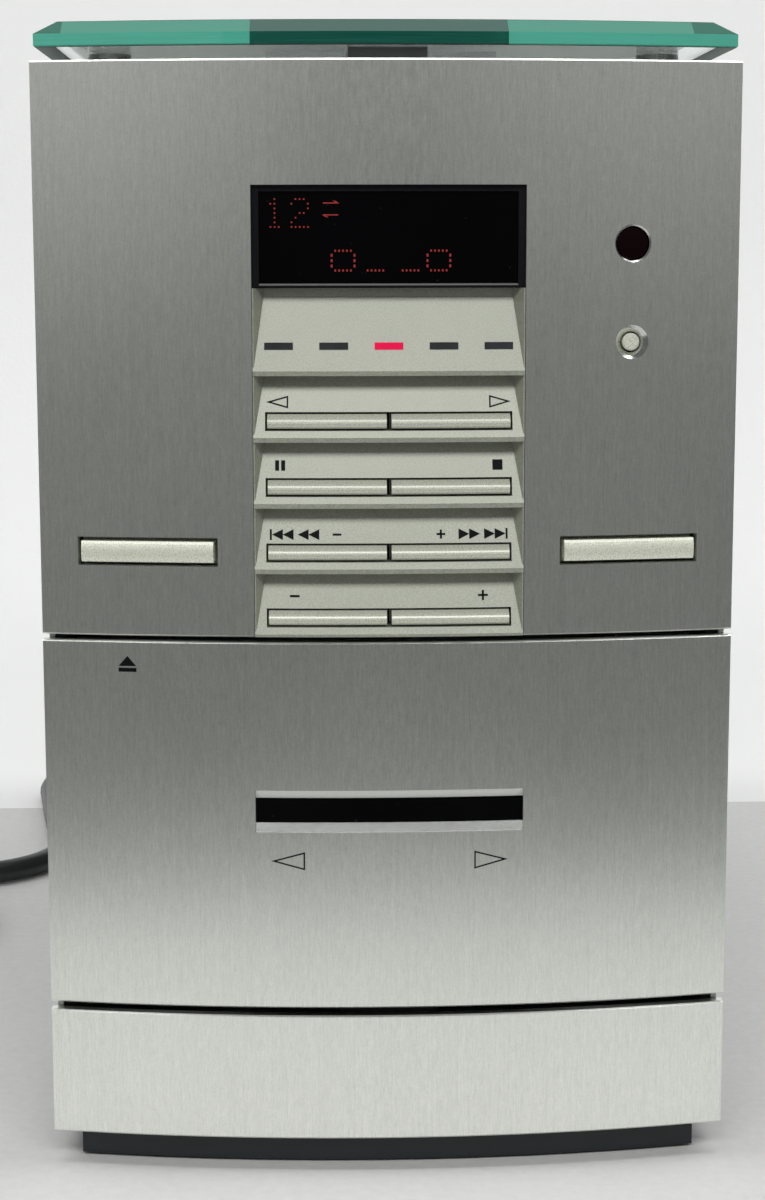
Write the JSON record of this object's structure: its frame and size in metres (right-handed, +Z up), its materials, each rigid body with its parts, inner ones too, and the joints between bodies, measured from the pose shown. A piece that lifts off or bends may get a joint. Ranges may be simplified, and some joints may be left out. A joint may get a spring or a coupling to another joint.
{
  "type": "micro hi-fi system",
  "caption": "Narrow hi-fi tower with a bowed metal front, louvred control fascia and display, a tilting cassette door and a motor-driven bevelled glass lid over the disc well.",
  "frame": {"origin": "under the middle of the whole part, at the level of its feet", "axes": "+X to the right seen from the front, +Y to the back, +Z up"},
  "size_m": [0.2688, 0.3329, 0.2134],
  "materials": {
    "front_aluminium": "brushed",
    "fascia_paint": "satin metallic",
    "key_silver": "satin metallic",
    "polished_silver": "polished",
    "plinth_plastic": "satin",
    "black_plastic": "matte",
    "case_metal": "satin",
    "zinc_steel": "plain",
    "smoked_acrylic": "gloss",
    "display_unit": "gloss",
    "indicator_acrylic": "gloss",
    "remote_acrylic": "gloss",
    "circuit_board": "satin",
    "nylon": "satin",
    "brass": "machined",
    "rubber": "matte",
    "cord_pvc": "satin",
    "green_glass": "polished",
    "pad_metal": "satin",
    "slide_metal": "satin",
    "core_steel": "plain",
    "fin_aluminium": "anodised"
  },
  "bodies": {
    "cabinet": {"base_plinth": "plinth_plastic", "rubber_feet": "rubber", "chassis_tray": "zinc_steel", "cabinet_cover": "case_metal", "rear_panel": "case_metal", "front_frame": "black_plastic", "upper_front_panel": "front_aluminium", "lower_front_panel": "front_aluminium", "control_fascia": "fascia_paint", "display_window": "smoked_acrylic", "display_module": "display_unit", "indicator_lenses": "indicator_acrylic", "remote_window": "remote_acrylic", "control_board": "circuit_board", "hinge_pin": "zinc_steel", "tape_deck_frame": "zinc_steel", "capstan_motor": "zinc_steel", "capstan_belt": "rubber", "disc_deck": "fascia_paint", "pickup_chassis": "zinc_steel", "suspension_bushes": "rubber", "disc_motors": "zinc_steel", "guide_rods": "zinc_steel", "lid_motor": "zinc_steel", "main_board": "circuit_board", "power_transformer": "core_steel", "heat_sink": "fin_aluminium", "rear_terminals": "black_plastic", "case_screws": "zinc_steel", "mains_cord": "cord_pvc", "cord_coil": "cord_pvc", "mains_plug": "cord_pvc"},
    "reverse_play_button": {"reverse_play_button": "fascia_paint"},
    "forward_play_button": {"forward_play_button": "fascia_paint"},
    "pause_button": {"pause_button": "fascia_paint"},
    "stop_button": {"stop_button": "fascia_paint"},
    "skip_back_button": {"skip_back_button": "fascia_paint"},
    "skip_forward_button": {"skip_forward_button": "fascia_paint"},
    "volume_down_button": {"volume_down_button": "fascia_paint"},
    "volume_up_button": {"volume_up_button": "fascia_paint"},
    "power_button": {"power_button": "key_silver"},
    "function_button": {"function_button": "key_silver"},
    "sound_mode_button": {"sound_mode_button": "polished_silver"},
    "cassette_door": {"cassette_panel": "front_aluminium", "cassette_window": "smoked_acrylic", "cassette_holder": "black_plastic"},
    "damper": {"damper_gear": "nylon"},
    "supply_reel": {"supply_spindle": "nylon"},
    "takeup_reel": {"takeup_spindle": "nylon"},
    "left_capstan": {"left_flywheel": "zinc_steel"},
    "right_capstan": {"right_flywheel": "zinc_steel"},
    "pulley": {"motor_pulley": "brass"},
    "head": {"head_carriage": "zinc_steel"},
    "disc_table": {"turntable": "black_plastic"},
    "pickup": {"optical_pickup": "black_plastic"},
    "sled": {"sled_gear": "nylon"},
    "lid": {"glass_lid": "green_glass", "lid_pads": "pad_metal", "lid_slide": "slide_metal"},
    "pinion": {"lid_pinion": "nylon"}
  },
  "joints": [
    {"name": "reverse_play_press", "type": "slide", "parent": "cabinet", "child": "reverse_play_button", "axis": [0, 1, 0], "range_m": [0, 0.0008], "stiffness_N_per_m": 300},
    {"name": "forward_play_press", "type": "slide", "parent": "cabinet", "child": "forward_play_button", "axis": [0, 1, 0], "range_m": [0, 0.0008], "stiffness_N_per_m": 300},
    {"name": "pause_press", "type": "slide", "parent": "cabinet", "child": "pause_button", "axis": [0, 1, 0], "range_m": [0, 0.0008], "stiffness_N_per_m": 300},
    {"name": "stop_press", "type": "slide", "parent": "cabinet", "child": "stop_button", "axis": [0, 1, 0], "range_m": [0, 0.0008], "stiffness_N_per_m": 300},
    {"name": "skip_back_press", "type": "slide", "parent": "cabinet", "child": "skip_back_button", "axis": [0, 1, 0], "range_m": [0, 0.0008], "stiffness_N_per_m": 300},
    {"name": "skip_forward_press", "type": "slide", "parent": "cabinet", "child": "skip_forward_button", "axis": [0, 1, 0], "range_m": [0, 0.0008], "stiffness_N_per_m": 300},
    {"name": "volume_down_press", "type": "slide", "parent": "cabinet", "child": "volume_down_button", "axis": [0, 1, 0], "range_m": [0, 0.0008], "stiffness_N_per_m": 300},
    {"name": "volume_up_press", "type": "slide", "parent": "cabinet", "child": "volume_up_button", "axis": [0, 1, 0], "range_m": [0, 0.0008], "stiffness_N_per_m": 300},
    {"name": "power_press", "type": "slide", "parent": "cabinet", "child": "power_button", "axis": [0.1368, 0.9906, 0], "range_m": [0, 0.0008], "stiffness_N_per_m": 300},
    {"name": "function_press", "type": "slide", "parent": "cabinet", "child": "function_button", "axis": [-0.1368, 0.9906, 0], "range_m": [0, 0.0008], "stiffness_N_per_m": 300},
    {"name": "sound_mode_press", "type": "slide", "parent": "cabinet", "child": "sound_mode_button", "axis": [-0.1368, 0.9906, 0], "range_m": [0, 0.0008], "stiffness_N_per_m": 300},
    {"name": "door_tilt", "type": "hinge", "parent": "cabinet", "child": "cassette_door", "pos_m": [0, -0.1366, 0.0252], "axis": [1, 0, 0], "range_deg": [0, 28]},
    {"name": "damper_spin", "type": "hinge", "parent": "cabinet", "child": "damper", "pos_m": [0.0539, -0.10499, 0.04345], "axis": [1, 0, 0], "range_deg": [-132.5, 1]},
    {"name": "supply_spin", "type": "hinge", "parent": "cabinet", "child": "supply_reel", "pos_m": [-0.02125, -0.121, 0.071], "axis": [0, 1, 0], "continuous": true},
    {"name": "takeup_spin", "type": "hinge", "parent": "cabinet", "child": "takeup_reel", "pos_m": [0.02125, -0.121, 0.071], "axis": [0, 1, 0], "continuous": true},
    {"name": "left_capstan_spin", "type": "hinge", "parent": "cabinet", "child": "left_capstan", "pos_m": [-0.0315, -0.111, 0.043], "axis": [0, 1, 0], "continuous": true},
    {"name": "right_capstan_spin", "type": "hinge", "parent": "cabinet", "child": "right_capstan", "pos_m": [0.0315, -0.111, 0.043], "axis": [0, 1, 0], "continuous": true},
    {"name": "pulley_spin", "type": "hinge", "parent": "cabinet", "child": "pulley", "pos_m": [0, -0.106, 0.084], "axis": [0, 1, 0], "continuous": true},
    {"name": "head_lift", "type": "slide", "parent": "cabinet", "child": "head", "axis": [0, 0, 1], "range_m": [0, 0.004]},
    {"name": "disc_spin", "type": "hinge", "parent": "cabinet", "child": "disc_table", "pos_m": [0, -0.074, 0.198], "axis": [0, 0, 1], "continuous": true},
    {"name": "pickup_slide", "type": "slide", "parent": "cabinet", "child": "pickup", "axis": [0, 1, 0], "range_m": [0, 0.034]},
    {"name": "sled_spin", "type": "hinge", "parent": "cabinet", "child": "sled", "pos_m": [0.03148, -0.049, 0.185], "axis": [0, 0, 1], "range_deg": [-407, 1]},
    {"name": "lid_travel", "type": "slide", "parent": "cabinet", "child": "lid", "axis": [0, 1, 0], "range_m": [0, 0.118]},
    {"name": "pinion_spin", "type": "hinge", "parent": "cabinet", "child": "pinion", "pos_m": [0.04332, 0.003, 0.19], "axis": [0, 0, 1], "range_deg": [-1, 941]}
  ],
  "couplings": [
    {"joint": "damper_spin", "follows": "door_tilt", "ratio": -4.6875},
    {"joint": "right_capstan_spin", "follows": "left_capstan_spin", "ratio": 1},
    {"joint": "pulley_spin", "follows": "left_capstan_spin", "ratio": 4.025},
    {"joint": "sled_spin", "follows": "pickup_slide", "rad_per_m": -208.33},
    {"joint": "pinion_spin", "follows": "lid_travel", "rad_per_m": 138.89}
  ]
}
